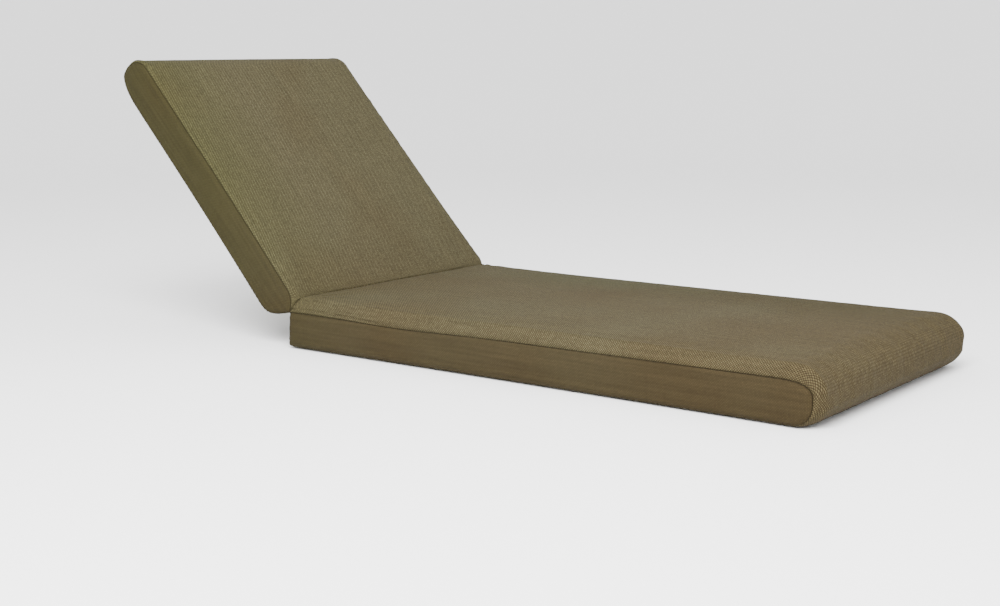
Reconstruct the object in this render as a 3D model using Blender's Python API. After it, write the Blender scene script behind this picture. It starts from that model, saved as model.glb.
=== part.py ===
"""Sun lounger cushion in two padded sections, a long seat and a raised back.

Each section is a filled pad in a main panel that wraps over the face, round the free end
and along the resting side, with a round-ended boxing panel sewn into each long side.
Lengths are in metres: +X runs from the head to the feet, +Y across, and +Z up.
"""
import math
from dataclasses import dataclass

import bmesh
import bpy
import numpy as np

# Driving dimensions of the whole cushion
WIDTH = 0.706
BACK_ANGLE = math.radians(47.5)
FOLD_GAP = 0.0005

# Boxing panels and the seams that hold them
PANEL_THICKNESS = 0.0025
PANEL_BULGE = 0.005
CLEARANCE = 0.0004
HOLLOW_SLOPE = 0.04
EDGE_TURN = 0.0015
SIDE_DRAW = 0.004

# Crown of the face: a rounded shoulder beside each long seam, then a low arch to the middle
SHOULDER_REACH = 0.020
ARCH_SHARE = 0.20
UNDER_REACH = 0.045

# The fold, where the crowned faces press against each other
FOLD_FACE_ANGLE = math.radians(64.0)
FOLD_BLEND = 0.070
FOLD_LIP = 0.0012
FOLD_STEPS = 3

# Plain end below the fold: places up it, and the share of the underside's swell at each
END_PLACES = (0.20, 0.50, 0.75)
END_SWELLS = (0.5, 0.4, 0.2)
HEEL_SWELLS = (0.8, 0.5)

# Share of the underside's pattern on the flat of the nose and up the plain end
NOSE_RESTING = (0.3, 0.7)
END_RESTING = (0.7, 0.5, 0.3)

# Mesh density
SHOULDER_STEPS = 5
MIDDLE_STEPS = 6
MIDDLE_POWER = 1.4
FACE_STEPS = 16
FACE_POWER = 1.6
UNDER_STEPS = 8
CORNER_STEPS = 6
CORNER_POWER = 2.4
PANEL_RINGS = (0.0026, 0.006, 0.014, 0.026)
RING_LIMIT = 0.95

OLIVE = (0.150, 0.128, 0.068, 1.0)
OLIVE_SIDE = (0.118, 0.098, 0.050, 1.0)


@dataclass
class Section:
    """Side view of one section: u runs from the fold to the free end, v up from the resting face."""

    length: float
    rest_rise: float
    fold_height: float
    end_height: float
    height_reach: float
    mitre: float
    heel_radius: float
    face_corner: tuple
    rest_corner: tuple
    end_crown: float
    thickness: float


SEAT = Section(
    length=1.276,
    rest_rise=0.006,
    fold_height=0.0825,
    end_height=0.0876,
    height_reach=1.276,
    mitre=0.0,
    heel_radius=0.006,
    face_corner=(0.070, 0.028),
    rest_corner=(0.037, 0.039),
    end_crown=0.022,
    thickness=0.1195,
)

BACK = Section(
    length=0.750,
    rest_rise=0.005,
    fold_height=0.0690,
    end_height=0.0978,
    height_reach=0.050,
    mitre=0.041,
    heel_radius=0.020,
    face_corner=(0.054, 0.060),
    rest_corner=(0.078, 0.028),
    end_crown=0.005,
    thickness=0.1060,
)


def seam_height(section, u):
    """Height of the face seam over height_reach: it rises late along the seat and early up the back."""
    share = np.clip(u / section.height_reach, 0.0, 1.0)
    ease = share ** 2 if section is SEAT else 1.0 - (1.0 - share) ** 3
    return section.fold_height + (section.end_height - section.fold_height) * ease


def half_width(section, u):
    """Half the width at the seams, drawn in by SIDE_DRAW midway along the section."""
    share = np.clip(u / section.length, 0.0, 1.0)
    return WIDTH / 2.0 - PANEL_BULGE - SIDE_DRAW * 4.0 * share * (1.0 - share)


def corner(centre, radii, start, end, steps, power=2.0):
    """Quarter of a superellipse about centre, between two angles in degrees, both ends left out."""
    angle = np.radians(np.linspace(start, end, steps + 2)[1:-1])
    cosine, sine = np.cos(angle), np.sin(angle)
    bend = 2.0 / power
    u = centre[0] + radii[0] * np.sign(cosine) * np.abs(cosine) ** bend
    v = centre[1] + radii[1] * np.sign(sine) * np.abs(sine) ** bend
    return np.column_stack([u, v])


def between(points, first, last):
    """One value for each point, in even steps from first to last with both ends left out."""
    return np.linspace(first, last, len(points) + 2)[1:-1]


def outline(section):
    """Closed side outline at the seams, and how the cloth swells from it.

    Returns the points (u, v), the outward swell at each point in metres, the share of the
    swell that follows the resting face's pattern, and the share that leans along the fold.
    """
    face_a, face_b = section.face_corner
    rest_a, rest_b = section.rest_corner
    low = section.rest_rise
    lip = FOLD_LIP * np.arange(FOLD_STEPS, 0, -1)
    end_direction = np.array([section.mitre, low - section.fold_height])
    end_direction = end_direction / np.linalg.norm(end_direction)
    fold_top = np.array([0.0, section.fold_height])
    lips = fold_top + lip[:, None] * end_direction

    face_u = (section.length - face_a) * (np.arange(FACE_STEPS + 1) / FACE_STEPS) ** FACE_POWER
    face = np.column_stack([face_u, seam_height(section, face_u)])
    top = seam_height(section, section.length - face_a)
    nose_top = corner((section.length - face_a, top - face_b), (face_a, face_b), 90, 0, CORNER_STEPS, CORNER_POWER)
    nose = np.array([
        (section.length, top - face_b),
        (section.length, low + rest_b),
    ])
    nose_low = corner((section.length - rest_a, low + rest_b), (rest_a, rest_b), 0, -90, CORNER_STEPS - 1)
    heel = section.mitre + section.heel_radius * (1.0 + section.mitre / section.fold_height)
    rest_u = np.linspace(section.length - rest_a, heel, UNDER_STEPS)
    rest = np.column_stack([rest_u, np.full(UNDER_STEPS, low)])
    heel_top = fold_top + (section.fold_height - low - section.heel_radius) * end_direction
    heel_corner = np.array([section.mitre, low])
    heel_mid = (heel_corner + (heel_top + rest[-1]) / 2.0) / 2.0
    end = np.array([heel_top + place * (fold_top - heel_top) for place in END_PLACES])
    parts = [lips, face, nose_top, nose, nose_low, rest, heel_mid[None], heel_top[None], end]
    points = np.concatenate(parts)

    end_crown, low_crown = section.end_crown, section.rest_rise
    crown = section.thickness - seam_height(section, face_u)
    swell = np.concatenate([
        np.full(FOLD_STEPS, crown[0]),
        crown,
        between(nose_top, crown[-1], end_crown),
        np.full(2, end_crown),
        low_crown + (end_crown - low_crown) * between(nose_low, 1.0, 0.0) ** 2,
        np.full(UNDER_STEPS, low_crown),
        low_crown * np.array(HEEL_SWELLS + END_SWELLS),
    ])
    resting = np.concatenate([
        np.zeros(FOLD_STEPS + FACE_STEPS + 1 + CORNER_STEPS),
        NOSE_RESTING,
        np.ones(CORNER_STEPS - 1 + UNDER_STEPS + 2),
        END_RESTING,
    ])
    leaning = np.concatenate([
        np.arange(FOLD_STEPS) / FOLD_STEPS,
        np.clip(1.0 - face_u / FOLD_BLEND, 0.0, 1.0),
        np.zeros(len(points) - FOLD_STEPS - len(face_u)),
    ])
    return points, swell, resting, leaning


def outward(points):
    """Unit normals of a closed outline that runs clockwise, from its neighbours on each side."""
    tangent = np.roll(points, -1, axis=0) - np.roll(points, 1, axis=0)
    normal = np.column_stack([-tangent[:, 1], tangent[:, 0]])
    return normal / np.linalg.norm(normal, axis=1)[:, None]


def face_pattern(inset):
    """Share of the face's crown at a distance from the side seam: a quarter ellipse, then a low arch."""
    near = np.minimum(inset / SHOULDER_REACH, 1.0)
    middle = np.minimum(inset / (WIDTH / 2.0), 1.0)
    shoulder = np.sqrt(1.0 - (1.0 - near) ** 2)
    return (1.0 - ARCH_SHARE) * shoulder + ARCH_SHARE * (1.0 - (1.0 - middle) ** 2)


def rest_pattern(inset):
    """Share of the resting face's swell at a distance from the side seam; flat past UNDER_REACH."""
    near = np.minimum(inset / UNDER_REACH, 1.0)
    return 1.0 - (1.0 - near) ** 3


def swollen(section, inset):
    """The section's side outline at a distance in from its side seams."""
    points, swell, resting, leaning = outline(section)
    normal = outward(points)
    normal[:FOLD_STEPS + 1] = (0.0, 1.0)
    share = (1.0 - resting) * face_pattern(inset) + resting * rest_pattern(inset)
    rise = (swell * share)[:, None]
    fold_direction = fold_lean(section)
    lean = leaning[:, None]
    steps = np.arange(len(points)) < FOLD_STEPS
    plain = np.where(steps[:, None], 0.0, normal * (1.0 - lean))
    return points + rise * (plain + lean * fold_direction)


def fold_lean(section):
    """Direction in which both faces rise at the fold, in the section's own u and v."""
    forward = math.tan(FOLD_FACE_ANGLE / 2.0)
    if section is SEAT:
        return np.array([forward, 1.0])
    cosine, sine = math.cos(BACK_ANGLE), math.sin(BACK_ANGLE)
    return np.array([sine - forward * cosine, forward * sine + cosine])


def mid_line(section, points):
    """For each outline point, the nearest point of the line along the middle of the side."""
    middle = (section.fold_height + section.rest_rise) / 2.0
    radius = middle - section.rest_rise
    start = section.mitre / 2.0 + radius
    along = np.clip(points[:, 0], start, section.length - radius)
    height = (seam_height(section, along) + section.rest_rise) / 2.0
    return np.column_stack([along, height])


def side_ring(section, inset, outset):
    """A loop on the side at a distance in from its seams, pushed out by the side's own bulge."""
    points = outline(section)[0]
    core = mid_line(section, points)
    reach = np.linalg.norm(points - core, axis=1)
    share = np.minimum(inset / reach, RING_LIMIT)[:, None]
    ring = points + share * (core - points)
    bulge = PANEL_BULGE * (1.0 - (1.0 - share[:, 0]) ** 2)
    y = half_width(section, ring[:, 0]) + bulge + outset
    return np.column_stack([ring[:, 0], y, ring[:, 1]])


def mirrored(loop):
    """The same loop on the other side of the section."""
    return loop * np.array([1.0, -1.0, 1.0])


def closed_mesh(name, loops):
    """Skin a run of equal loops, close both ends, and turn every face outwards."""
    mesh = bpy.data.meshes.new(name)
    shape = bmesh.new()
    rows = [[shape.verts.new(point) for point in loop] for loop in loops]
    count = len(rows[0])
    for first, second in zip(rows, rows[1:]):
        for index in range(count):
            following = (index + 1) % count
            shape.faces.new((first[index], first[following], second[following], second[index]))
    caps = [shape.faces.new(rows[0]), shape.faces.new(rows[-1][::-1])]
    bmesh.ops.triangulate(shape, faces=caps, ngon_method="BEAUTY")
    bmesh.ops.recalc_face_normals(shape, faces=shape.faces)
    shape.to_mesh(mesh)
    shape.free()
    return mesh


def station_insets():
    """Distances of the cross-sections from the side seam: close round the shoulder, wide in the middle."""
    turn = np.arange(1, SHOULDER_STEPS + 1) * math.pi / 2.0 / SHOULDER_STEPS
    shoulder = SHOULDER_REACH * (1.0 - np.cos(turn))
    share = (np.arange(1, MIDDLE_STEPS + 1) / MIDDLE_STEPS) ** MIDDLE_POWER
    return np.concatenate([shoulder, SHOULDER_REACH + share * (WIDTH / 2.0 - SHOULDER_REACH)])


def pad_mesh(name, section):
    """The filled pad: side outlines from one side to the other, with bulged ends under the panels."""
    sunk = -(PANEL_THICKNESS + CLEARANCE)
    insets = station_insets()
    loops = []
    for inset in insets[:-1]:
        side = swollen(section, inset)
        reach = (half_width(section, side[:, 0]) + sunk) * (1.0 - inset / (WIDTH / 2.0))
        loops.append(np.column_stack([side[:, 0], reach, side[:, 1]]))
    middle = swollen(section, insets[-1])
    centre = np.column_stack([middle[:, 0], np.zeros(len(middle)), middle[:, 1]])
    rings = [side_ring(section, inset, sunk - HOLLOW_SLOPE * inset) for inset in PANEL_RINGS]
    near_half = rings[::-1] + loops
    return closed_mesh(name, near_half + [centre] + [mirrored(loop) for loop in near_half[::-1]])


def panel_mesh(name, section):
    """One boxing panel: a thin bulged sheet whose edge turns in to the seam."""
    edge = side_ring(section, PANEL_RINGS[0], -EDGE_TURN)
    outer = [edge] + [side_ring(section, inset, 0.0) for inset in PANEL_RINGS[1:]]
    inner = [side_ring(section, inset, -PANEL_THICKNESS) for inset in PANEL_RINGS]
    return closed_mesh(name, inner[::-1] + outer)


def cloth(name, colour):
    """Matt woven outdoor cloth."""
    material = bpy.data.materials.new(name)
    material.use_nodes = True
    shader = material.node_tree.nodes["Principled BSDF"]
    shader.inputs["Base Color"].default_value = colour
    shader.inputs["Roughness"].default_value = 0.85
    shader.inputs["Metallic"].default_value = 0.0
    material.diffuse_color = colour
    return material


def add_object(name, mesh, material, parent):
    """Link a mesh to the scene under its parent, with smooth shading and its own material."""
    mesh.materials.append(material)
    mesh.shade_smooth()
    item = bpy.data.objects.new(name, mesh)
    item.parent = parent
    bpy.context.collection.objects.link(item)
    return item


def add_frame(name, parent=None):
    """An empty that carries a section."""
    frame = bpy.data.objects.new(name, None)
    frame.parent = parent
    bpy.context.collection.objects.link(frame)
    return frame


def add_section(name, section, frame):
    """The pad and its two boxing panels."""
    items = [add_object(f"{name}_pad", pad_mesh(f"{name}_pad", section), cloth(f"{name}_cloth", OLIVE), frame)]
    for side, sign in (("left", 1.0), ("right", -1.0)):
        mesh = panel_mesh(f"{name}_side_{side}", section)
        if sign * (1.0 if section is SEAT else -1.0) < 0.0:
            mesh.transform(((1, 0, 0, 0), (0, -1, 0, 0), (0, 0, 1, 0), (0, 0, 0, 1)))
            mesh.flip_normals()
        items.append(add_object(f"{name}_side_{side}", mesh, cloth(f"{name}_{side}_cloth", OLIVE_SIDE), frame))
    return items


def build():
    """Build both sections, fold the back up, and stand the whole on the origin."""
    for item in list(bpy.data.objects):
        bpy.data.objects.remove(item, do_unlink=True)
    cushion = add_frame("cushion")
    seat_frame = add_frame("seat_frame", cushion)
    back_frame = add_frame("back_frame", cushion)
    items = add_section("seat", SEAT, seat_frame) + add_section("back", BACK, back_frame)

    cosine, sine = math.cos(BACK_ANGLE), math.sin(BACK_ANGLE)
    drop = BACK.fold_height
    seat_frame.location = (FOLD_GAP / 2.0, 0.0, 0.0)
    back_frame.location = (
        -FOLD_GAP / 2.0 - drop * sine,
        0.0,
        SEAT.fold_height - drop * cosine,
    )
    back_frame.rotation_euler = (0.0, -BACK_ANGLE, math.pi)
    bpy.context.view_layer.update()

    reach = [(item.matrix_world @ vertex.co).x for item in items for vertex in item.data.vertices]
    cushion.location = (-(min(reach) + max(reach)) / 2.0, 0.0, 0.0)
    bpy.context.view_layer.update()


build()
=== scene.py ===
# %% [markdown]
# # Sun lounger cushion
# The real object is a cushion in two padded sections, a long seat and a raised back, in one
# two-tone woven cloth. The packed solids already have its size and main shape. They could be
# shown as they are, but they are too plain close up, so this script dresses each of them with a
# finer piece that has the fuller pad, the seams and the weave. First it loads the frame that the
# solids stand in.

# %% Load the frame
import math
from dataclasses import dataclass

import bmesh
import bpy
import numpy as np
from mathutils import Matrix, Vector


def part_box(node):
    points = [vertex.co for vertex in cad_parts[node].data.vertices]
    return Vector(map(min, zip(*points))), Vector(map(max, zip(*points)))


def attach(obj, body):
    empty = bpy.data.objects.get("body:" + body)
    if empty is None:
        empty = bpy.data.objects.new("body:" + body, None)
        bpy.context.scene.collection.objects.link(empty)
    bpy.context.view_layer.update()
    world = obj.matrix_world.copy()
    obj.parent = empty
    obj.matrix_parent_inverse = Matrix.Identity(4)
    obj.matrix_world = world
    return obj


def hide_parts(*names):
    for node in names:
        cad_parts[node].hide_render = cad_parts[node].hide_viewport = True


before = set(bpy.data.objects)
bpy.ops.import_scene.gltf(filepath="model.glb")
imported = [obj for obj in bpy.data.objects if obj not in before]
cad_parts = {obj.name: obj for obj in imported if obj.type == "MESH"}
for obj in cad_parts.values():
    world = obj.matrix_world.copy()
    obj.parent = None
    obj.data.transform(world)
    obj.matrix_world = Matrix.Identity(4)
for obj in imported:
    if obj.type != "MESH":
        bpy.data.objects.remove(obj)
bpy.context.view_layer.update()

# %% [markdown]
# ## The side view of a section
# A maker starts such a pad from its side view: a long flat face, a rounded free end and a plain
# or slanted end at the fold. It could be drawn by hand as a curve for each section. A table of
# named sizes was chosen instead, because the seat and the back are then two rows of it and every
# later step works for both. `u` runs from the fold to the free end and `v` up from the underside.

# %% Sizes of the two sections
WIDTH = 0.706
BACK_ANGLE = math.radians(47.5)
FOLD_GAP = 0.0005
PANEL_BULGE = 0.005
SIDE_DRAW = 0.004
SHOULDER_REACH = 0.018
ARCH_SHARE = 0.15
UNDER_REACH = 0.045
FOLD_FACE_ANGLE = math.radians(64.0)
FOLD_BLEND = 0.070
FOLD_LIP = 0.0012
BACK_ASIDE = 0.005
SEAM_SAG = 0.0045
SAG_PLACE = 0.33
SAG_REACH = 0.15


@dataclass
class Section:
    """Sizes of one section in metres: first its outline, then how its cloth swells and draws in."""

    name: str
    length: float
    rest_rise: float
    fold_height: float
    end_height: float
    height_reach: float
    mitre: float
    heel_radius: float
    face_corner: tuple
    rest_corner: tuple
    end_crown: float
    thickness: float
    face_extra: float
    rest_extra: float
    end_draw: float
    end_sink: float
    corner_fill: float


SEAT = Section("seat", length=1.276, rest_rise=0.006, fold_height=0.0825, end_height=0.0876,
               height_reach=1.276, mitre=-0.005, heel_radius=0.006, face_corner=(0.070, 0.028),
               rest_corner=(0.037, 0.039), end_crown=0.022, thickness=0.1195,
               face_extra=0.001, rest_extra=0.0, end_draw=0.0, end_sink=0.005, corner_fill=0.0055)
BACK = Section("back", length=0.750, rest_rise=0.005, fold_height=0.0690, end_height=0.0978,
               height_reach=0.050, mitre=0.041, heel_radius=0.020, face_corner=(0.054, 0.060),
               rest_corner=(0.078, 0.028), end_crown=0.007, thickness=0.1060,
               face_extra=0.0, rest_extra=0.005, end_draw=0.004, end_sink=0.0, corner_fill=0.0)
print("sections:", SEAT.name, SEAT.length, BACK.name, BACK.length)

# %% [markdown]
# Three small formulas carry the side view, and two helpers turn it into rows. The seam of a real
# pad isn't straight: it rises toward the free end and sags a little on the way, and the sides draw
# in midway along, because the filling pulls them. Splines through measured points would do as
# well, but a formula keeps the line smooth with only a few sizes.

# %% Lines of the side view


def seam_height(section, u):
    """Height of the face seam: a square along the seat less a bell-shaped sag, a cubic up the back."""
    share = np.clip(u / section.height_reach, 0.0, 1.0)
    ease = share ** 2 if section is SEAT else 1.0 - (1.0 - share) ** 3
    sag = SEAM_SAG * np.exp(-((u - SAG_PLACE) / SAG_REACH) ** 2) if section is SEAT else 0.0
    return section.fold_height + (section.end_height - section.fold_height) * ease - sag


def half_width(section, u):
    """Half the width at the seams: a parabola draws it in midway along, a square over the last fifth."""
    share = np.clip(u / section.length, 0.0, 1.0)
    last_fifth = np.clip(5.0 * share - 4.0, 0.0, 1.0)
    drawn = SIDE_DRAW * 4.0 * share * (1.0 - share)
    return WIDTH / 2.0 - PANEL_BULGE - drawn - section.end_draw * last_fifth ** 2


def quarter(centre, radii, start, end, steps, power=2.0):
    """Quarter of a superellipse about centre: radius times cosine and sine to the 2 / power."""
    angle = np.radians(np.linspace(start, end, steps + 2)[1:-1])
    cosine, sine = np.cos(angle), np.sin(angle)
    bend = 2.0 / power
    u = centre[0] + radii[0] * np.sign(cosine) * np.abs(cosine) ** bend
    v = centre[1] + radii[1] * np.sign(sine) * np.abs(sine) ** bend
    return np.column_stack([u, v])


def spread(value, count):
    """A column of count rows: one number repeated, even steps of a (first, last) pair, or as given."""
    if np.size(value) > 2:
        return value
    first, last = value if np.size(value) == 2 else (value, value)
    return np.linspace(first, last, count)


def run(points, swell, resting, leaning):
    """Rows for one run of the outline: its points beside their swell, resting and leaning shares."""
    return np.column_stack([points] + [spread(value, len(points)) for value in (swell, resting, leaning)])


print("seam height of the seat at a third:", round(float(seam_height(SEAT, 0.42)) * 1000, 1), "mm")

# %% [markdown]
# The outline is a chain of runs: two lips at the fold, the face, the rounded end, the underside
# and the plain end. Each run also says how far the cloth swells out from it when the pad is
# filled. A swell for each point was chosen rather than a second, larger outline, so that the
# cross-section can be worked out at any distance from the side seam.

# %% Outline of a section
FACE_EASE = 1.3
FACE_EXTRA_REACH = 0.08
END_SINK_POWER = 10
CORNER_POWER = 2.4
LIPS = 3
LIP_LEAN = 0.667
NOSE_POINTS = 4
HEEL_POINTS = 5
END_STEPS = 10
NOSE_RESTING = (0.3, 0.7)
HEEL_FADE = 5.0
HEEL_SHARES = np.array([0.9, 0.5])
END_SHARES = np.array([0.5, 0.2])
END_RESTING = (0.7, 0.3)


def outline(section, face_steps=96, corner_steps=12, under_steps=60, end_steps=END_STEPS):
    """Closed outline, clockwise, with its swell in metres and its resting and leaning shares.

    Returns one row for each point: u, v, swell, resting, leaning.
    """
    face_a, face_b = section.face_corner
    rest_a, rest_b = section.rest_corner
    low, fold, end_crown = section.rest_rise, section.fold_height, section.end_crown
    down = np.array([section.mitre, low - fold])
    down = down / np.linalg.norm(down)
    fold_top = np.array([0.0, fold])
    lips = fold_top + FOLD_LIP * np.arange(LIPS, 0.0, -1.0)[:, None] * down

    u = (section.length - face_a) * np.linspace(0.0, 1.0, face_steps + 1) ** FACE_EASE
    face = np.column_stack([u, seam_height(section, u)])
    extra = section.face_extra * (1.0 - np.exp(-u / FACE_EXTRA_REACH))
    sink = section.end_sink * (u / section.length) ** END_SINK_POWER
    face_swell = section.thickness - face[:, 1] + extra - sink

    top = seam_height(section, section.length - face_a)
    nose_top = quarter((u[-1], top - face_b), (face_a, face_b), 90, 0, corner_steps, CORNER_POWER)
    turned = np.linspace(0.0, 1.0, corner_steps)
    corner_swell = face_swell[-1] + (end_crown - face_swell[-1]) * turned
    corner_swell = corner_swell + section.corner_fill * np.sin(math.pi * turned)
    nose = np.column_stack([np.full(NOSE_POINTS, section.length),
                            np.linspace(top - face_b, low + rest_b, NOSE_POINTS)])
    nose_low = quarter((section.length - rest_a, low + rest_b), (rest_a, rest_b), 0, -90, corner_steps)
    low_swell = low + section.rest_extra
    nose_low_swell = low_swell + (end_crown - low_swell) * np.linspace(1.0, 0.0, corner_steps) ** 2

    heel = section.mitre + section.heel_radius * (1.0 + section.mitre / fold)
    rest = np.column_stack([np.linspace(section.length - rest_a, heel, under_steps),
                            np.full(under_steps, low)])
    before_heel = np.minimum(np.linspace(1.0, 0.0, under_steps) * HEEL_FADE, 1.0)
    heel_top = fold_top + (fold - low - section.heel_radius) * down
    corner = np.array([section.mitre, low])
    t = np.linspace(0.0, 1.0, HEEL_POINTS + 2)[1:-1, None]
    turn = (1 - t) ** 2 * rest[-1] + 2 * t * (1 - t) * corner + t ** 2 * heel_top
    end_top = fold_top + (LIPS + 1) * FOLD_LIP * down
    end = heel_top + np.linspace(0.0, 1.0, end_steps + 1)[:-1, None] * (end_top - heel_top)
    return np.concatenate([
        run(lips, face_swell[0], 0.0, (0.0, LIP_LEAN)),
        run(face, face_swell, 0.0, np.clip(1.0 - u / FOLD_BLEND, 0.0, 1.0)),
        run(nose_top, corner_swell, 0.0, 0.0),
        run(nose, end_crown, NOSE_RESTING, 0.0),
        run(nose_low, nose_low_swell, 1.0, 0.0),
        run(rest, low + section.rest_extra * before_heel, 1.0, 0.0),
        run(turn, HEEL_SHARES * low, 1.0, 0.0),
        run(end, END_SHARES * low, END_RESTING, 0.0),
    ])


print("outline points:", len(outline(SEAT)), len(outline(BACK)))

# %% [markdown]
# ## The filled pad
# The pad is the side view carried across the width. At the seam the face climbs round a tight
# shoulder and then levels into a low arch, as foam does under a sewn cover. At the fold both
# faces lean the same way, so that they press together in one crease. A box with rounded edges
# would be quicker, but its edges are even, where a filled cover is tight at the seam and soft
# further in, so the rise is a formula of the distance from the seam.

# %% Swollen cross-sections


def outward(points):
    """Unit normals of a closed clockwise outline: the chord between neighbours, a quarter turn on."""
    chord = np.roll(points, -1, axis=0) - np.roll(points, 1, axis=0)
    normal = np.column_stack([-chord[:, 1], chord[:, 0]])
    return normal / np.linalg.norm(normal, axis=1)[:, None]


def face_pattern(inset):
    """Share of the crown: a quarter ellipse over SHOULDER_REACH plus a low parabola to the middle."""
    near = np.clip(inset / SHOULDER_REACH, 0.0, 1.0)
    middle = np.clip(inset / (WIDTH / 2.0), 0.0, 1.0)
    shoulder = np.sqrt(1.0 - (1.0 - near) ** 2)
    return (1.0 - ARCH_SHARE) * shoulder + ARCH_SHARE * (1.0 - (1.0 - middle) ** 2)


def rest_pattern(inset):
    """Share of the underside's swell: a cubic rise, flat past UNDER_REACH where the pad rests."""
    return 1.0 - (1.0 - np.minimum(inset / UNDER_REACH, 1.0)) ** 3


def fold_lean(section):
    """Direction, in u and v, in which both faces rise at the fold."""
    forward = math.tan(FOLD_FACE_ANGLE / 2.0)
    if section is SEAT:
        return np.array([forward, 1.0])
    cosine, sine = math.cos(BACK_ANGLE), math.sin(BACK_ANGLE)
    return np.array([sine - forward * cosine, forward * sine + cosine])


def swollen(section, inset, rows):
    """Outlines at several insets: each point moves out by swell times pattern, or along the lean."""
    points, swell, resting, leaning = rows[:, :2], rows[:, 2], rows[:, 3], rows[:, 4]
    normal = outward(points)
    normal[:LIPS + 1] = (0.0, 1.0)
    plain = normal * (1.0 - leaning[:, None])
    plain[:LIPS] = 0.0
    direction = plain + leaning[:, None] * fold_lean(section)
    inset = np.asarray(inset)[:, None]
    share = (1.0 - resting) * face_pattern(inset) + resting * rest_pattern(inset)
    return points + (swell * share)[:, :, None] * direction


print("share of the crown 5 and 20 mm in:", [round(float(face_pattern(inset)), 3) for inset in (0.005, 0.02)])

# %% [markdown]
# ## Seams
# A plain seam pulls both cloths down into a narrow groove, and the turned-in allowance behind it
# lifts a soft ridge on each side. This could be painted as bump in the material, but then it
# would vanish at the edge of the picture, so it is real relief. Each part is a short formula of
# the distance from the seam, and a sum of sines along it makes them as uneven as hand-guided sewing.

# %% Grooves and ridges
GROOVE_DEPTH = 0.0032
GROOVE_WIDTH = 0.0038
RIDGE_HEIGHT = 0.0012
RIDGE_PLACE = 0.0095
RIDGE_WIDTH = 0.0042
RIDGE_UNEVEN = 0.55
RIDGE_WANDER = 0.25
PUCKER_HEIGHT = 0.0005
PUCKER_REACH = 0.030
PUCKER_WAVES = (0.012, 0.06, 5)
FULL_TURN = 6.283
SCATTER = (12.9, 78.2, 43.7)
WAVE_FALL = 0.35
WAVE_GAIN = 1.8


def ripple(along, seed, shortest=0.02, longest=0.5, waves=9):
    """Sum of sines of the distance along, from long waves to short lower ones, about -1 to 1.

    SCATTER shuffles the phases: each is the part after the point of a large sine of its number.
    """
    steps = np.arange(waves)
    lengths = longest * (shortest / longest) ** (steps / (waves - 1.0))
    phase = FULL_TURN * np.modf(np.sin(seed * SCATTER[0] + steps * SCATTER[1]) * SCATTER[2])[0]
    heights = (lengths / longest) ** WAVE_FALL
    total = sum(h * np.sin(FULL_TURN * along / l + p) for h, l, p in zip(heights, lengths, phase))
    return total / heights.sum() * WAVE_GAIN


def seam_ridge(distance, along, seed):
    """Bell-shaped ridge beside the seam, with short puckers that fade over PUCKER_REACH."""
    place = RIDGE_PLACE * (1.0 + RIDGE_WANDER * ripple(along, seed + 1))
    bell = np.exp(-((distance - place) / RIDGE_WIDTH) ** 2)
    ridge = RIDGE_HEIGHT * (1.0 + RIDGE_UNEVEN * ripple(along, seed)) * bell
    pucker = PUCKER_HEIGHT * ripple(along, seed + 2, *PUCKER_WAVES) * np.exp(-distance / PUCKER_REACH)
    return ridge + pucker * np.clip(distance / RIDGE_PLACE, 0.0, 1.0)


def seam_groove(distance):
    """Depth of the groove: a square fall over GROOVE_WIDTH to the stitched line."""
    return GROOVE_DEPTH * np.clip(1.0 - distance / GROOVE_WIDTH, 0.0, 1.0) ** 2


print("ridge at 9 mm:", round(float(seam_ridge(0.009, 0.2, 1)) * 1000, 2), "mm")

# %% [markdown]
# Near the fold the real cover shows more: the edge of the turned-in cloth stands out as a strip
# that runs into the seam, small folds spread from the corner, and the face rolls in to the
# crease. Round the foot the cloth is pulled into soft upright folds. A cloth simulation can't be
# told where these lie, so they are given as four formulas.

# %% Folds and pulls
ALLOWANCE_DEPTH = 0.0034
ALLOWANCE_START = 0.0105
ALLOWANCE_LENGTH = 0.31
FURROW_WIDTH = 0.0022
FURROW_UNEVEN = 0.6
FURROW_WAVES = (0.012, 0.08, 5)
STRIP_SHARE = 0.4
STRIP_WIDTH = 0.35 * ALLOWANCE_START
FAN_HEIGHT = 0.0011
FAN_REACH = 0.035
FAN_LINES = 15.0
PULL_HEIGHT = 0.0007
PULL_WAVES = (0.018, 0.14, 6)
CREASE_DEPTH = 0.0018
CREASE_REACH = 0.0100
NOWHERE = 1e-6


def allowance_ridge(distance, along, seed):
    """Turned-in cloth by the fold: a raised strip under a furrow, a quarter ellipse into the seam."""
    left = np.clip(1.0 - along / ALLOWANCE_LENGTH, 0.0, 1.0)
    place = ALLOWANCE_START * np.sqrt(left * (2.0 - left))
    uneven = 1.0 + FURROW_UNEVEN * ripple(along, seed, *FURROW_WAVES)
    furrow = np.exp(-((distance - place) / FURROW_WIDTH) ** 2) * uneven
    strip = STRIP_SHARE * np.exp(-((distance - place / 2.0) / STRIP_WIDTH) ** 2)
    last_quarter = np.minimum(4.0 * left, 1.0)
    return ALLOWANCE_DEPTH * (strip - furrow) * last_quarter


def corner_fan(inset, along):
    """Small folds that spread from the fold's corner: a sine of the angle, fading over FAN_REACH."""
    angle = np.arctan2(inset + NOWHERE, np.maximum(along, NOWHERE))
    reach = np.hypot(inset, along) / FAN_REACH
    return FAN_HEIGHT * np.sin(FAN_LINES * angle) * reach * np.exp(1.0 - reach)


def end_pulls(across, along, start, length, seed):
    """Soft upright folds over the end: ripple across the width times a half sine of the way round."""
    share = np.clip((along - start) / length, 0.0, 1.0)
    return PULL_HEIGHT * np.sin(math.pi * share) * ripple(across, seed, *PULL_WAVES)


def crease_dip(along):
    """Depth to which the face rolls in at the fold: an exponential fall over CREASE_REACH."""
    return CREASE_DEPTH * np.exp(-along / CREASE_REACH)


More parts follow.
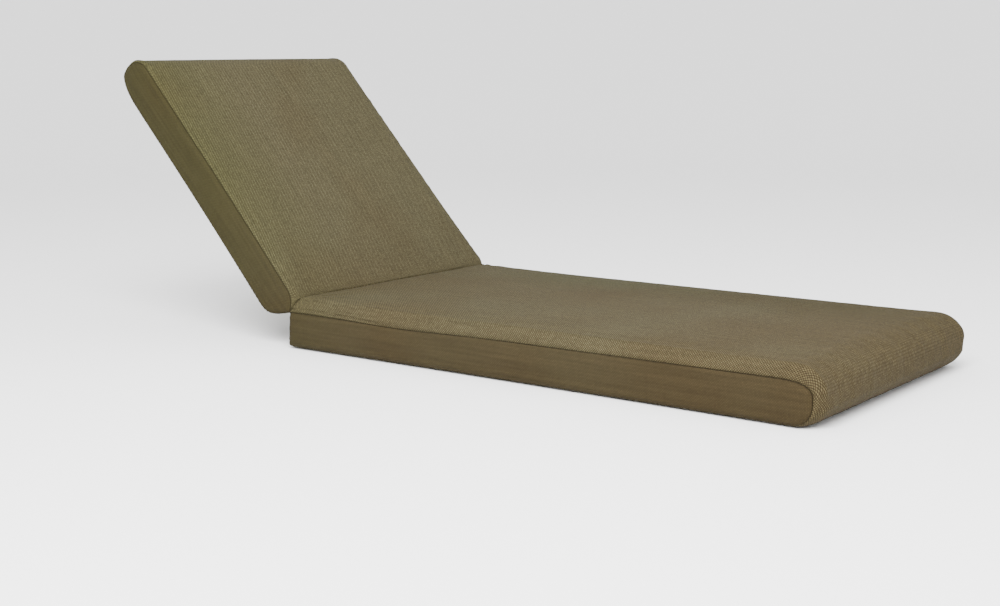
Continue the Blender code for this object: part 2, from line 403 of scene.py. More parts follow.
print("crease 5 mm from the fold:", round(float(crease_dip(0.005)) * 1000, 2), "mm")

# %% [markdown]
# ## Meshes from grids
# Every piece is one or two grids of points, as a cut panel of cloth is one grid of threads. A
# grid could be joined up face by face in a loop, but four shifted copies of its index table are
# its faces already, which is much faster. Each face corner also keeps its place on the flat cloth.

# %% Grid helpers


def grid_faces(index, wrap=False):
    """Quads of an index table: each cell joins a point to its neighbours right, diagonal and below."""
    if wrap:
        index = np.concatenate([index, index[:, :1]], axis=1)
    return np.stack([index[:-1, :-1], index[:-1, 1:], index[1:, 1:], index[1:, :-1]], axis=-1).reshape(-1, 4)


def new_piece(name, points, faces, flat, caps=(), seam=None):
    """Mesh object from points and quads, with the flat cloth position of each face corner as its UV map.

    The distance to the nearest seam may be kept with each point as the attribute "seam".
    """
    mesh = bpy.data.meshes.new(name)
    mesh.from_pydata(points.reshape(-1, 3).tolist(), [], faces.tolist() + [list(cap) for cap in caps])
    mesh.update()
    corners = np.concatenate([flat.reshape(-1, 2), np.zeros((sum(len(cap) for cap in caps), 2))])
    layer = mesh.uv_layers.new(name="cloth")
    layer.data.foreach_set("uv", corners.astype(np.float32).ravel())
    if seam is not None:
        kept = mesh.attributes.new("seam", "FLOAT", "POINT")
        kept.data.foreach_set("value", seam.astype(np.float32).ravel())
    shape = bmesh.new()
    shape.from_mesh(mesh)
    bmesh.ops.triangulate(shape, faces=[face for face in shape.faces if len(face.verts) > 4])
    bmesh.ops.recalc_face_normals(shape, faces=shape.faces)
    shape.to_mesh(mesh)
    shape.free()
    mesh.shade_smooth()
    piece = bpy.data.objects.new(name, mesh)
    bpy.context.scene.collection.objects.link(piece)
    return piece


def arc_length(points):
    """Distance along a line of points from its first one."""
    return np.concatenate([[0.0], np.cumsum(np.linalg.norm(np.diff(points, axis=0), axis=1))])


def placed(section, points):
    """Points of a section's side view and width, carried to where the section lies in the frame."""
    if section is SEAT:
        return points + np.array([HINGE_X + FOLD_GAP / 2.0, 0.0, 0.0])
    cosine, sine = math.cos(BACK_ANGLE), math.sin(BACK_ANGLE)
    u, y, v = points[..., 0], points[..., 1], points[..., 2] - BACK.fold_height
    x = HINGE_X - FOLD_GAP / 2.0 - u * cosine + v * sine
    y = y - BACK_ASIDE * (u / BACK.length) ** 2
    return np.stack([x, y, SEAT.fold_height + u * sine + v * cosine], axis=-1)


HINGE_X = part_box("seat_pad")[1].x - SEAT.length - SEAT.end_crown - FOLD_GAP / 2.0
print("hinge at x =", round(HINGE_X, 4))

# %% [markdown]
# ## The main cloth round each pad
# One long piece of cloth wraps the face, the free end and the underside. Its grid runs round the
# outline and across the width, with rows close together round the shoulder, where the cloth
# turns fastest. An even grid would need several times the faces for the same smooth shoulder. A
# few more rows turn in under the boxing panel and close the pad there.

# %% Pad surface
PANEL_THICKNESS = 0.0025
PANEL_CLEARANCE = 0.0004
SUNK = PANEL_THICKNESS + PANEL_CLEARANCE
MIDDLE_EASE = 1.25
TUCK_LEFT = 0.0006
TUCK_REACH = 0.0016
RING_SHARES = (0.40, 0.15, 0.04)
RINGS = len(RING_SHARES)
RING_SLOPE = 0.003
FINE = dict(face_steps=150, corner_steps=18, under_steps=80, end_steps=12)
COARSE = dict(face_steps=70, corner_steps=6, under_steps=30, end_steps=4)


def fine_insets(round_steps=30, middle_steps=44):
    """Distances from the side seam: even turns round the shoulder, then wider steps to mid-width."""
    turn = np.linspace(0.0, math.pi / 2.0, round_steps + 1)
    share = np.linspace(0.0, 1.0, middle_steps + 1)[1:] ** MIDDLE_EASE
    return np.concatenate([SHOULDER_REACH * (1.0 - np.cos(turn)),
                           SHOULDER_REACH + share * (WIDTH / 2.0 - SHOULDER_REACH)])


def mid_line(section, points):
    """For each outline point, the nearest point of the line along the middle of the side."""
    middle = (section.fold_height + section.rest_rise) / 2.0
    radius = middle - section.rest_rise
    along = np.clip(points[:, 0], section.mitre / 2.0 + radius, section.length - radius)
    return np.column_stack([along, (seam_height(section, along) + section.rest_rise) / 2.0])


def pad_grid(section, insets, steps):
    """Points across the width by points round the outline, each point's distance to the seam, rows.

    Beside the seam the cloth tucks in by an exponential fall, to lie under the boxing panel. A few
    rings, shares of the way from the outline to its middle line, then close the pad's side.
    """
    rows = outline(section, **steps)
    edge = rows[:, :2]
    side = swollen(section, insets, rows)
    rise = np.linalg.norm(side - edge, axis=-1)
    tuck = (SUNK - TUCK_LEFT) * np.exp(-rise / TUCK_REACH) + TUCK_LEFT
    y = (half_width(section, side[:, :, 0]) - tuck) * (1.0 - insets / (WIDTH / 2.0))[:, None]
    half = np.stack([side[:, :, 0], y, side[:, :, 1]], axis=-1)
    core = mid_line(section, edge)
    rings = []
    for share in RING_SHARES:
        ring = edge + share * (core - edge)
        depth = half_width(section, ring[:, 0]) - SUNK - RING_SLOPE * share
        rings.append(np.column_stack([ring[:, 0], depth, ring[:, 1]]))
    half = np.concatenate([np.array(rings), half])
    distance = np.concatenate([np.zeros((RINGS, len(edge))), np.hypot(insets[:, None], rise)])
    grid = np.concatenate([half, (half[:-1] * np.array([1.0, -1.0, 1.0]))[::-1]])
    return grid, np.concatenate([distance, distance[:-1][::-1]]), rows


def grid_normals(grid):
    """Unit normals of a grid that wraps round: the cross product of its two central differences."""
    around = np.roll(grid, -1, axis=1) - np.roll(grid, 1, axis=1)
    normal = np.cross(around, np.gradient(grid, axis=0))
    normal /= np.maximum(np.linalg.norm(normal, axis=-1), 1e-12)[..., None]
    outwards = np.sum(normal * (grid - grid.mean(axis=(0, 1))))
    return normal * np.sign(outwards)


print("fine rows:", 2 * len(fine_insets()) - 1)

# %% [markdown]
# ## Filling the cover
# Foam pushes the cover out everywhere at once, which is what Blender's Cloth does with an inner
# pressure and no gravity. The fine grid would be slow to fill and could tangle, so a coarse copy
# of the pad is cut a little loose, held along its seams and underneath, and filled for twenty
# frames. No point may travel further than a few millimetres, and the travel is then carried over
# to the fine grid with a smooth cubic blend.

# %% Cloth simulation of the filling
FILL_CAP = 0.0025
FILL_FRAMES = 20
SEAM_HELD = 0.004
REST_HELD = 0.25


def filled(section, insets):
    """Travel of each coarse grid point when the cover is filled, no longer than FILL_CAP."""
    grid, distance, rows = pad_grid(section, insets, COARSE)
    index = np.arange(grid.shape[0] * grid.shape[1]).reshape(grid.shape[:2])
    faces = grid_faces(index, wrap=True)
    bag = new_piece("bag", grid, faces, np.zeros((faces.size, 2)), caps=[index[0], index[-1][::-1]])
    resting = (rows[:, 3] > REST_HELD) | (np.arange(len(rows)) < LIPS)
    held = (distance < SEAM_HELD) | resting[None, :]
    group = bag.vertex_groups.new(name="held")
    group.add(index[held].tolist(), 1.0, "REPLACE")
    cloth = bag.modifiers.new("filling", "CLOTH")
    settings = cloth.settings
    settings.quality = 6
    settings.mass = 0.25
    settings.tension_stiffness = 12.0
    settings.compression_stiffness = 12.0
    settings.shear_stiffness = 5.0
    settings.bending_stiffness = 0.6
    settings.use_pressure = True
    settings.uniform_pressure_force = 4.0
    settings.shrink_min = -0.012
    settings.vertex_group_mass = "held"
    settings.effector_weights.gravity = 0.0
    cloth.point_cache.frame_start = 1
    cloth.point_cache.frame_end = FILL_FRAMES
    for frame_number in range(1, FILL_FRAMES + 1):
        bpy.context.scene.frame_set(frame_number)
    shown = bag.evaluated_get(bpy.context.evaluated_depsgraph_get())
    after = np.zeros(grid.size)
    shown.data.vertices.foreach_get("co", after)
    travel = after.reshape(grid.shape) - grid
    length = np.maximum(np.linalg.norm(travel, axis=-1), 1e-9)
    travel *= np.minimum(1.0, FILL_CAP / length)[..., None]
    bpy.data.objects.remove(bag, do_unlink=True)
    bpy.context.scene.frame_set(1)
    print(section.name, "filling: longest travel", round(float(length.max()) * 1000, 1), "mm, mean",
          round(float(length.mean()) * 1000, 2), "mm")
    return travel


def cubic_blend(places, count, wrap=False):
    """Weights of count coarse samples at fractional places: the cubic B-spline of their distance."""
    gap = np.abs(places[:, None] - np.arange(count)[None, :])
    if wrap:
        gap = np.minimum(gap, count - gap)
    near = 2.0 / 3.0 - gap ** 2 + gap ** 3 / 2.0
    far = np.clip(2.0 - gap, 0.0, None) ** 3 / 6.0
    weight = np.where(gap < 1.0, near, far)
    return weight / weight.sum(axis=1)[:, None]


print("travel cap:", FILL_CAP * 1000, "mm")

# %% [markdown]
# ## The two pads
# Here each pad comes together, in the order in which a maker works: the cut shape, the filling,
# the seams and folds, then the crease. The folds move the surface along its own normals, which
# could be left to a Displace modifier, but in an array each one can depend on the seam's distance
# and on the way round. The flat place of each thread is measured last, on the finished surface.

# %% Travel carried to the fine grid
COARSE_SHOULDER = (0.0, 0.002, 0.010)


def coarse_insets(steps=26):
    """Even steps of about a coarse cell from the seam to mid-width, two of them on the shoulder."""
    return np.concatenate([COARSE_SHOULDER, np.linspace(SHOULDER_REACH, WIDTH / 2.0, steps)])


def closed_length(rows):
    """Distance round a closed outline from its first point, with the full length at the end."""
    return arc_length(np.concatenate([rows[:, :2], rows[:1, :2]]))


def carried_travel(section, insets, around):
    """The filling's travel on the fine grid: coarse travel times cubic weights across and around."""
    coarse = coarse_insets()
    travel = filled(section, coarse)
    coarse_around = closed_length(outline(section, **COARSE))
    place_around = np.interp(around[:-1] / around[-1], coarse_around / coarse_around[-1],
                             np.arange(len(coarse_around)))
    rings = np.arange(float(RINGS))
    half = np.concatenate([rings, RINGS + np.interp(insets, coarse, np.arange(len(coarse)))])
    place_across = np.concatenate([half, travel.shape[0] - 1.0 - half[:-1][::-1]])
    blend_across = cubic_blend(place_across, travel.shape[0])
    blend_around = cubic_blend(place_around, travel.shape[1], wrap=True)
    return np.einsum("ai,ijk,bj->abk", blend_across, travel, blend_around, optimize=True)


print("coarse rows across:", 2 * (RINGS + len(coarse_insets())) - 1)

# %% [markdown]
# The seams and folds are added up as one height for each point. The underside is pressed flat
# where the cushion lies, so its ridges are lower, and the cover is tighter over the free end of
# the back, so its upright folds are nearly gone. Each pad is then made by one function, because
# both sections take the same steps.

# %% Relief and pads
REST_FLATTENS = 0.6
PULLS_BACK = 0.2
PULL_BEFORE = 0.11
PULL_LENGTH = 0.20
CLEAR_OF_SEAM = 0.02


def pad_relief(section, grid, distance, around, rows, insets, seed):
    """Height of all seams and folds: the sum of ridge, allowance, fan and pulls, none on the lips."""
    along = around[None, :-1]
    relief = seam_ridge(distance, along, seed) * (1.0 - rows[:, 3] * REST_FLATTENS)
    half_insets = np.concatenate([np.zeros(RINGS), insets])
    from_side = np.concatenate([half_insets, half_insets[:-1][::-1]])[:, None]
    if section is SEAT:
        relief = relief + allowance_ridge(distance, along, seed) + corner_fan(from_side, along)
    nose = around[int(np.argmax(rows[:, 0]))]
    turn = np.clip(distance / CLEAR_OF_SEAM, 0.0, 1.0)
    pulls = end_pulls(grid[..., 1], along, nose - PULL_BEFORE, PULL_LENGTH, seed + 4)
    relief = relief + (1.0 if section is SEAT else PULLS_BACK) * turn * pulls
    return np.where(distance > 0.0, relief, 0.0) * (np.arange(len(rows)) > LIPS)


def creased(section, grid, distance, around):
    """The grid with its face rolled in at the fold: moved back along the lean by the crease's dip."""
    along = around[None, :-1]
    dip = crease_dip(np.maximum(along - along[0, LIPS], 0.0)) * np.clip(distance / CLEAR_OF_SEAM, 0.0, 1.0)
    lean = fold_lean(section) / np.linalg.norm(fold_lean(section))
    on_face = np.arange(grid.shape[1]) < grid.shape[1] // 2
    return grid - (dip * on_face)[..., None] * np.array([lean[0], 0.0, lean[1]])


def flat_cloth(grid, around):
    """Place on the flat cloth for each face corner: arc length from mid-width, and the way round."""
    across = np.cumsum(np.linalg.norm(np.diff(grid, axis=0, prepend=grid[:1]), axis=-1), axis=0)
    across = across[len(grid) // 2] - across
    across = np.concatenate([across, across[:, :1]], axis=1)
    corner = np.stack([across, np.broadcast_to(around, across.shape)], axis=-1)
    return np.stack([corner[:-1, :-1], corner[:-1, 1:], corner[1:, 1:], corner[1:, :-1]], axis=2)


def pad_piece(section, seed):
    """The closed pad: formula surface, plus the filling's travel, plus relief along the normals."""
    insets = fine_insets()
    grid, distance, rows = pad_grid(section, insets, FINE)
    around = closed_length(rows)
    grid = grid + carried_travel(section, insets, around)
    relief = pad_relief(section, grid, distance, around, rows, insets, seed)
    grid = grid + relief[..., None] * grid_normals(grid)
    grid = creased(section, grid, distance, around)
    index = np.arange(grid.shape[0] * grid.shape[1]).reshape(grid.shape[:2])
    piece = new_piece(section.name + "_cushion", placed(section, grid), grid_faces(index, wrap=True),
                      flat_cloth(grid, around), caps=[index[0], index[-1][::-1]], seam=distance)
    print(piece.name, "grid", grid.shape[:2], "faces", len(piece.data.polygons))
    return piece


seat_cushion = pad_piece(SEAT, 1)
back_cushion = pad_piece(BACK, 5)

# %% [markdown]
# ## Boxing panels
# Each long side is closed by a narrow strip with a rounded end, sewn in all round. A maker cuts
# it to the side view, so its grid is made of lines from the lower seam to the upper one. It
# bulges most along its middle, where nothing holds it. A Solidify modifier could give it
# thickness, but an inner grid of its own can stay clear of the groove at the seam.

# %% Side panels
BULGE_REACH = 0.042
THINNEST = 0.0008
SEAM_POINTS = 1400


def resample(points, count):
    """The same line with count points at even distances along it."""
    length = arc_length(points)
    even = np.linspace(0.0, length[-1], count)
    return np.column_stack([np.interp(even, length, points[:, axis]) for axis in range(2)])


def panel_grid(section, columns=260, rows=28):
    """Lines from the lower to the upper seam, and each point's distance to the nearest seam."""
    edge = outline(section)[:, :2]
    tip_top = int(np.argmax(np.isclose(edge[:, 0], section.length)))
    tip_low = tip_top + NOSE_POINTS - 1
    upper = resample(edge[LIPS:tip_top + 1], columns)
    lower = resample(edge[tip_low:-END_STEPS][::-1], columns)
    b = np.linspace(0.0, 1.0, rows)
    b = 0.5 - 0.5 * np.cos(math.pi * b)
    grid = lower[None] + b[:, None, None] * (upper - lower)[None]
    seam = resample(np.concatenate([edge, edge[:1]]), SEAM_POINTS)[::2]
    flat = grid.reshape(-1, 2)
    distance = np.sqrt(((flat[:, None, :] - seam[None, :, :]) ** 2).sum(-1)).min(1)
    return grid, distance.reshape(grid.shape[:2])


def panel_piece(section, side, seed):
    """Closed sheet: an outer grid that bulges by a parabola, an inner one behind it, and a rim."""
    grid, distance = panel_grid(section)
    u, v = grid[..., 0], grid[..., 1]
    share = np.clip(distance / BULGE_REACH, 0.0, 1.0)
    bulge = PANEL_BULGE * (1.0 - (1.0 - share) ** 2)
    y = half_width(section, u) + bulge + seam_ridge(distance, u, seed) - seam_groove(distance)
    behind = np.minimum(half_width(section, u) + bulge - PANEL_THICKNESS, y - THINNEST)
    outer = np.stack([u, y, v], axis=-1)
    inner = np.stack([u, behind, v], axis=-1)
    count = grid.shape[0] * grid.shape[1]
    index = np.arange(count).reshape(grid.shape[:2])
    rim = np.concatenate([index[0], index[1:, -1], index[-1, -2::-1], index[-2:0:-1, 0]])
    following = np.roll(rim, -1)
    edge_faces = np.stack([rim, rim + count, following + count, following], axis=-1)
    faces = np.concatenate([grid_faces(index), grid_faces(index)[:, ::-1] + count, edge_faces])
    points = np.concatenate([outer.reshape(-1, 3), inner.reshape(-1, 3)])
    points[:, 1] *= side
    flat = np.concatenate([grid.reshape(-1, 2)[:, ::-1]] * 2)[faces]
    label = "left" if side > 0 else "right"
    piece = new_piece(f"{section.name}_panel_{label}", placed(section, points), faces, flat,
                      seam=np.concatenate([distance, distance]))
    print(piece.name, "faces", len(piece.data.polygons))
    return piece


panels = {(section.name, side): panel_piece(section, side, 3 * number + side)
          for number, section in enumerate((SEAT, BACK)) for side in (1.0, -1.0)}

# %% [markdown]
# ## Woven cloth
# The cover is a matt outdoor cloth in two tones, an olive thread one way and a browner thread the
# other, crossing in turn. A picture of cloth could be laid over it, but its edges would show and
# its threads would stretch. So the pattern is arithmetic on the flat cloth position that each
# piece carries, and the threads run along the cushion and turn with it over the rounded end. The
# nodes could be placed one by one, but a small class with operators lets the arithmetic be
# written as it would be on paper, and each operator adds its own node.

# %% A small shader language


class Shade:
    """One output socket of a material, with the arithmetic that a pattern needs."""

    def __init__(self, tree, socket=None):
        self.tree = tree
        self.socket = socket

    def node(self, kind, inputs=(), out=0, **settings):
        """Any node by its type: settings first, then a value or a link for each named socket."""
        made = self.tree.nodes.new("ShaderNode" + kind)
        for name, value in settings.items():
            setattr(made, name, value)
        for name, value in dict(inputs).items():
            if isinstance(value, Shade):
                self.tree.links.new(value.socket, made.inputs[name])
            else:
                made.inputs[name].default_value = value
        return Shade(self.tree, made.outputs[out])

    def math(self, operation, *values):
        """One Math node over self and the other values."""
        return self.node("Math", dict(enumerate((self, *values))), operation=operation)

    def __add__(self, other):
        return self.math("ADD", other)

    def __sub__(self, other):
        return self.math("SUBTRACT", other)

    def __rsub__(self, other):
        return self.node("Math", {0: other, 1: self}, operation="SUBTRACT")

    def __mul__(self, other):
        return self.math("MULTIPLY", other)

    def __mod__(self, other):
        return self.math("FLOORED_MODULO", other)

    __radd__ = __add__
    __rmul__ = __mul__

    def floor(self):
        return self.math("FLOOR")

    def clipped(self):
        """This value, kept between 0 and 1."""
        return self.math("MINIMUM", 1.0).math("MAXIMUM", 0.0)

    def mix(self, low, high):
        """Colour that goes from low to high as this value goes from 0 to 1."""
        return self.node("Mix", {0: self, 6: low, 7: high}, out=2, data_type="RGBA")

    def tinted(self, other):
        """This colour times another one, channel by channel."""
        return self.node("Mix", {0: 1.0, 6: self, 7: other}, out=2, data_type="RGBA",
                         blend_type="MULTIPLY")


print("what a shade can do:", [name for name in vars(Shade) if not name.startswith("__")])

# %% [markdown]
# The weave is a chessboard of crossings. On one half of its squares the lengthways thread lies on
# top, on the other half the crossways one, and each rises in a low arch and dips at its ends,
# where a painted shade darkens it.
# Noise that is stretched along the threads makes some of them lighter over a long way, as spun
# yarn is, and painted shade darkens a narrow line along the seam's groove.

# %% Threads
THREAD_PITCH = 0.0026
ARCH_ACROSS = 3.4
ARCH_ALONG = 2.4
# painted shade in the weave: a thread's colour is darkest where it dips and lightest on its top
THREAD_DIP_SHADE = 0.70
THREAD_SHADE_RISE = 0.50
WARP_NOISE = (0.42, 0.014)
WEFT_NOISE = (0.012, 0.45)
WEFT_START = 7.3
WEFT_STREAK = 0.12
# painted shade along the seam's groove: how wide the darkened line is and how dark it gets
SEAM_SHADE_WIDTH = 0.0020
SEAM_SHADE_LEVEL = 0.45


def thread_arch(side, step):
    """Height of a thread on top: a parabola across it times a flatter parabola along it."""
    return (1.0 - side * side * ARCH_ACROSS) * (1.0 - step * step * ARCH_ALONG)


def crossings(across, along):
    """Which thread is on top (0 or 1, as column plus row is even or odd), its height, and a random value."""
    column, row = across.floor(), along.floor()
    side = across - column - 0.5
    step = along - row - 0.5
    lifted = (column + row) % 2.0
    height = lifted * thread_arch(side, step) + (1.0 - lifted) * thread_arch(step, side)
    knot_place = across.node("CombineXYZ", {0: column, 1: row})
    knot = across.node("TexWhiteNoise", {"Vector": knot_place}, noise_dimensions="3D")
    return lifted, height, knot


def streaks(shade, across, along, start=0.0):
    """Noise over the threads: stretched by the two factors that are already in across and along."""
    place = shade.node("CombineXYZ", {0: across, 1: along, 2: start})
    return shade.node("TexNoise", {"Vector": place, "Scale": 1.0, "Detail": 3.0})


def thread_light(shade, across, along, height, knot, streak, grain):
    """Lightness: 1 plus three centred noises, times painted shade in the threads' dips and along the seam."""
    warp_streak = streaks(shade, across * WARP_NOISE[0], along * WARP_NOISE[1])
    weft_streak = streaks(shade, across * WEFT_NOISE[0], along * WEFT_NOISE[1], WEFT_START)
    light = (knot - 0.5) * grain + (warp_streak - 0.5) * streak + (weft_streak - 0.5) * WEFT_STREAK + 1.0
    # painted shade: the colour darkens in a narrow line along the seam, where its groove lies
    seam = shade.node("Attribute", out=2, attribute_name="seam") * (1.0 / SEAM_SHADE_WIDTH)
    line = seam.math("MINIMUM", 1.0) * (1.0 - SEAM_SHADE_LEVEL) + SEAM_SHADE_LEVEL
    # painted shade: darker where each thread dips, and along the seam
    return light * (height * THREAD_SHADE_RISE + THREAD_DIP_SHADE) * line


print("threads across the cushion:", round(WIDTH / THREAD_PITCH))

# %% [markdown]
# Outdoor cloth doesn't keep one tone: sun and use leave it paler in one place and browner in
# another, in soft patches. From the head to the foot it goes from olive to brown, partly a change
# of tone and partly painted light that leaves the head paler. Along the near side of the back a
# greener tint is partly painted shade, and along the far side of the seat a darker tint is painted
# shade, where less light falls. Painting a mask would tie it to one mesh, so each change is a
# slope of the place in the frame, kept between 0 and 1.

# %% Fading and painted shade
DRIFT_SCALE = 3.2
DRIFT_PATCHES = 2.2
# partly a change of tone and partly painted light: the head end paler, the foot end darker
TONE_AND_LIGHT_SLOPE = 0.8
PLAIN = (1.0, 1.0, 1.0, 1.0)
BROWN_TINT = (0.885, 0.835, 0.775, 1.0)
OLIVE_TINT = (1.01, 1.08, 1.11, 1.0)
# partly a greener tone and partly painted shade, for the near side of the back
GREEN_AND_SHADE_TINT = (0.86, 0.92, 0.74, 1.0)
# painted shade: a darker tint for the far side of the seat
FAR_SHADE_TINT = (0.84, 0.88, 0.78, 1.0)
GREEN_AND_SHADE_ACROSS = (-0.10, -0.35)
GREEN_AND_SHADE_ALONG = (-0.20, -0.60)
FAR_SHADE_ACROSS = (0.04, 0.24)
FAR_SHADE_ALONG = (-0.30, -0.05)
FAR_SHADE_AT_FOOT = (0.92, 0.72)


def slope(place, start, full):
    """0 up to start, 1 from full on and even between: the way past start over the whole way."""
    scale = 1.0 / (full - start)
    return (place * scale - start * scale).clipped()


def faded_and_shaded(tone, shade):
    """The tone times three tints: brown to olive by noise and by a slope that is partly painted light, a
    greener tint that is partly painted shade, and painted shade on the seat's far side.
    """
    place = shade.node("TexCoord", out=3)
    drift = shade.node("TexNoise", {"Vector": place, "Scale": DRIFT_SCALE, "Detail": 2.0})
    x = shade.node("SeparateXYZ", {0: place}, out=0)
    y = shade.node("SeparateXYZ", {0: place}, out=1)
    # random patches of tone, plus a slope that is partly painted light: paler toward the head
    olive = ((drift - 0.5) * DRIFT_PATCHES - x * TONE_AND_LIGHT_SLOPE + 0.5).clipped()
    # partly painted shade: the near side of the back is darker as well as greener
    green_and_shade = slope(y, *GREEN_AND_SHADE_ACROSS) * slope(x, *GREEN_AND_SHADE_ALONG)
    # painted shade: the far side of the seat is darker, where less light falls
    far_shade = slope(y, *FAR_SHADE_ACROSS) * slope(x, *FAR_SHADE_ALONG) * slope(x, *FAR_SHADE_AT_FOOT)
    tone = tone.tinted(olive.mix(BROWN_TINT, OLIVE_TINT))
    return tone.tinted(green_and_shade.mix(PLAIN, GREEN_AND_SHADE_TINT)).tinted(far_shade.mix(PLAIN, FAR_SHADE_TINT))


print("tints from", BROWN_TINT[:3], "to", OLIVE_TINT[:3])

# %% [markdown]
# The two cloths share one recipe. The main cloth has strong light and dark threads. The boxing
# panels look quieter: their two tones lie closer and the long streaks show more. Their threads are
# also darker, a painted shade on the upright sides. One function with a few colours was chosen
# over two node trees made by hand, so that both stay alike.

# %% The two-tone weave
MAIN_THREADS = ((0.068, 0.058, 0.029, 1.0), (0.024, 0.017, 0.0095, 1.0))
# painted shade: the side threads are darker than the main ones, as the upright sides are shaded
SIDE_THREADS_SHADED = ((0.0330, 0.0265, 0.0118, 1.0), (0.0280, 0.0200, 0.0104, 1.0))
ROUGHNESS_LOW = 0.94
ROUGHNESS_FALL = 0.10
THREAD_BUMP = {"Strength": 0.60, "Distance": 0.0005}
THREAD_GLOSS = 0.08


def woven_cloth(name, threads, streak, grain):
    """Plain weave of a warp and a weft colour: threads cross in turn, each a low arch."""
    warp, weft = threads
    material = bpy.data.materials.new(name)
    material.use_nodes = True
    tree = material.node_tree
    shader = tree.nodes["Principled BSDF"]
    shade = Shade(tree)
    place = shade.node("UVMap", uv_map="cloth")
    across = place.node("SeparateXYZ", {0: place}, out=0) * (1.0 / THREAD_PITCH)
    along = place.node("SeparateXYZ", {0: place}, out=1) * (1.0 / THREAD_PITCH)
    lifted, height, knot = crossings(across, along)
    light = thread_light(shade, across, along, height, knot, streak, grain)
    tone = faded_and_shaded(lifted.mix(weft, warp), shade)
    final = tone.tinted(shade.node("CombineColor", {0: light, 1: light, 2: light}))
    tree.links.new(final.socket, shader.inputs["Base Color"])
    rough = ROUGHNESS_LOW - height * ROUGHNESS_FALL
    tree.links.new(rough.socket, shader.inputs["Roughness"])
    bump = shade.node("Bump", {**THREAD_BUMP, "Height": height})
    tree.links.new(bump.socket, shader.inputs["Normal"])
    shader.inputs["Specular IOR Level"].default_value = THREAD_GLOSS
    print(name, "nodes", len(tree.nodes))
    return material


main_cloth = woven_cloth("olive_weave", MAIN_THREADS, streak=0.50, grain=0.40)
# the boxing panels' cloth: closer tones, and darker, a painted shade of the main cloth
side_cloth_shaded = woven_cloth("olive_weave_side", SIDE_THREADS_SHADED, streak=0.60, grain=0.12)

# %% [markdown]
# ## Each piece takes its place
# The pads stand for the solid pads and the panels for the solid panels. All of them are soft and
# lie still, so they ride on the one body.

# %% Ride and replace
def dress(piece, node, material):
    """Give a piece its cloth, its body and the CAD node that it stands for."""
    piece.data.materials.append(material)
    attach(piece, "root")
    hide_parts(node)


dress(seat_cushion, "seat_pad", main_cloth)
dress(back_cushion, "back_pad", main_cloth)
for (name, side), piece in panels.items():
    dress(piece, f"{name}_side_{'left' if side > 0 else 'right'}", side_cloth_shaded)

# %% [markdown]
# ## Floor
# A cushion is photographed on a pale sheet of paper that curves up behind it. A flat plane would
# end in a hard horizon, so a shallow bowl with a wide rim stands for the paper, and the
# background is even from every side.

# %% Floor
BOWL_FLAT = 0.35
RING_EASE = 1.2


def floor_bowl(radius=14.0, rise=7.0, rings=60, turns=96):
    """A disc whose rim turns up: rise times the square of the way from BOWL_FLAT to the rim."""
    r, a = np.meshgrid(np.linspace(0.0, 1.0, rings) ** RING_EASE,
                       np.linspace(0.0, 2 * math.pi, turns + 1)[:-1], indexing="ij")
    z = rise * np.clip((r - BOWL_FLAT) / (1.0 - BOWL_FLAT), 0.0, 1.0) ** 2
    points = np.stack([radius * r * np.cos(a), radius * r * np.sin(a), z], axis=-1)
    index = np.arange(rings * turns).reshape(rings, turns)
    mesh = bpy.data.meshes.new("floor")
    mesh.from_pydata(points.reshape(-1, 3).tolist(), [], grid_faces(index, wrap=True)[:, ::-1].tolist())
    shape = bmesh.new()
    shape.from_mesh(mesh)
    bmesh.ops.remove_doubles(shape, verts=shape.verts, dist=1e-5)
    shape.to_mesh(mesh)
    shape.free()
    mesh.shade_smooth()
    floor = bpy.data.objects.new("floor", mesh)
    bpy.context.scene.collection.objects.link(floor)
    material = bpy.data.materials.new("pale_floor")
    material.use_nodes = True
    paper = material.node_tree.nodes["Principled BSDF"]
    paper.inputs["Base Color"].default_value = (0.92, 0.92, 0.92, 1.0)
    paper.inputs["Roughness"].default_value = 0.9
    mesh.materials.append(material)
    return floor


floor = floor_bowl()
print("floor faces", len(floor.data.polygons))

# %% [markdown]
# ## Light
# In the photo the seat is brightest toward the camera and nothing casts a hard shadow. One broad
# lamp near the foot, on the camera's side, does that, because light from a near lamp falls off
# across the width. A sun lamp would be even all over. A pale sky fills in the shadows.

# %% Light
KEY_PLACE = (1.6, -2.6, 2.9)
KEY_TARGET = (0.1, 0.0, 0.2)
KEY_SIZE = 3.0
KEY_POWER = 515.0
SKY_STRENGTH = 1.8


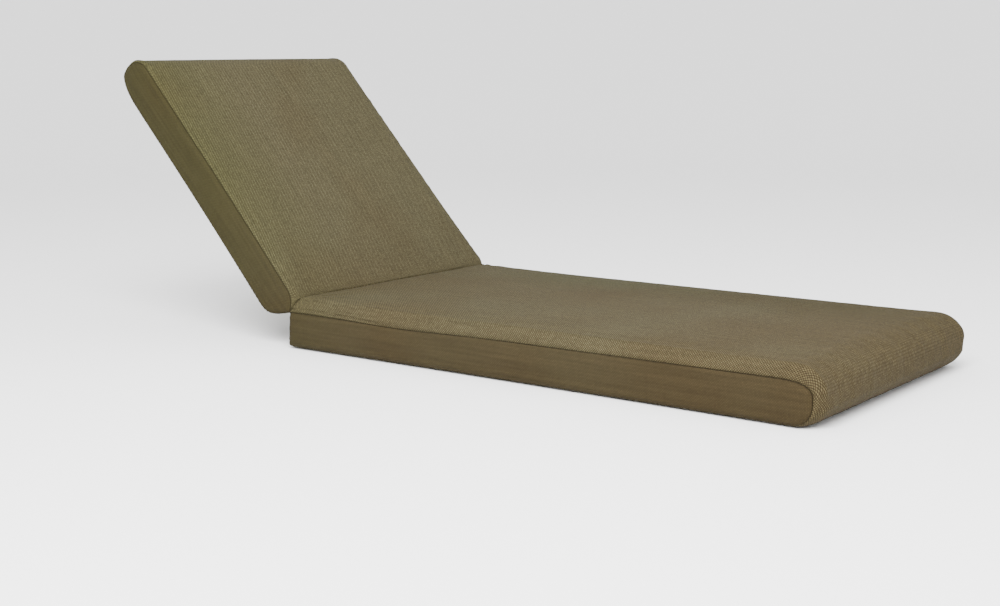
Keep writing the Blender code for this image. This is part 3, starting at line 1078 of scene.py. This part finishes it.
def soft_light(name, place, target, size, power):
    """A large area light that faces the target."""
    data = bpy.data.lights.new(name, "AREA")
    data.shape = "DISK"
    data.size = size
    data.energy = power
    lamp = bpy.data.objects.new(name, data)
    lamp.location = place
    lamp.rotation_mode = "QUATERNION"
    lamp.rotation_quaternion = (Vector(target) - Vector(place)).to_track_quat("-Z", "Y")
    bpy.context.scene.collection.objects.link(lamp)
    return lamp


soft_light("key", KEY_PLACE, KEY_TARGET, KEY_SIZE, KEY_POWER)
world = bpy.data.worlds.new("studio")
world.use_nodes = True
sky = world.node_tree.nodes["Background"]
sky.inputs["Color"].default_value = (1.0, 1.0, 1.0, 1.0)
sky.inputs["Strength"].default_value = SKY_STRENGTH
bpy.context.scene.world = world
print("lights ready")

# %% [markdown]
# ## Camera
# The camera stands at the photo's own viewpoint, a little above the seat and off the foot's
# corner. It could be placed by eye, but its place, its turn and its lens were worked out from the
# straight edges of the cushion in the photo, so the two outlines lie on each other.

# %% Camera
SENSOR = 36.0
PHOTO_WIDTH = 1000.0
FOCAL_PIXELS = 1520.0
YAW = -0.6484
PITCH = 0.1659
ROLL = -0.0032
CAMERA = (2.4062, -2.7413, 0.6650)


def studio_camera():
    """Camera from a yaw about Z, a pitch down and a small roll; the sensor spans the photo's width."""
    data = bpy.data.cameras.new("view")
    data.sensor_width = SENSOR
    data.lens = SENSOR * FOCAL_PIXELS / PHOTO_WIDTH
    camera = bpy.data.objects.new("view", data)
    level = Vector((math.sin(YAW), math.cos(YAW), 0.0))
    forward = level * math.cos(PITCH) - Vector((0.0, 0.0, math.sin(PITCH)))
    right = Vector((math.cos(YAW), -math.sin(YAW), 0.0))
    up = right.cross(forward)
    right_rolled = right * math.cos(ROLL) + up * math.sin(ROLL)
    up_rolled = up * math.cos(ROLL) - right * math.sin(ROLL)
    camera.matrix_world = Matrix((
        (right_rolled.x, up_rolled.x, -forward.x, HINGE_X + CAMERA[0]),
        (right_rolled.y, up_rolled.y, -forward.y, CAMERA[1]),
        (right_rolled.z, up_rolled.z, -forward.z, CAMERA[2]),
        (0.0, 0.0, 0.0, 1.0),
    ))
    bpy.context.scene.collection.objects.link(camera)
    return camera


bpy.context.scene.camera = studio_camera()
print("camera at", [round(value, 3) for value in bpy.context.scene.camera.location])

# %% [markdown]
# The dressed cushion should fill the box of the solids that it stands for, and pass it by a few
# millimetres at most.
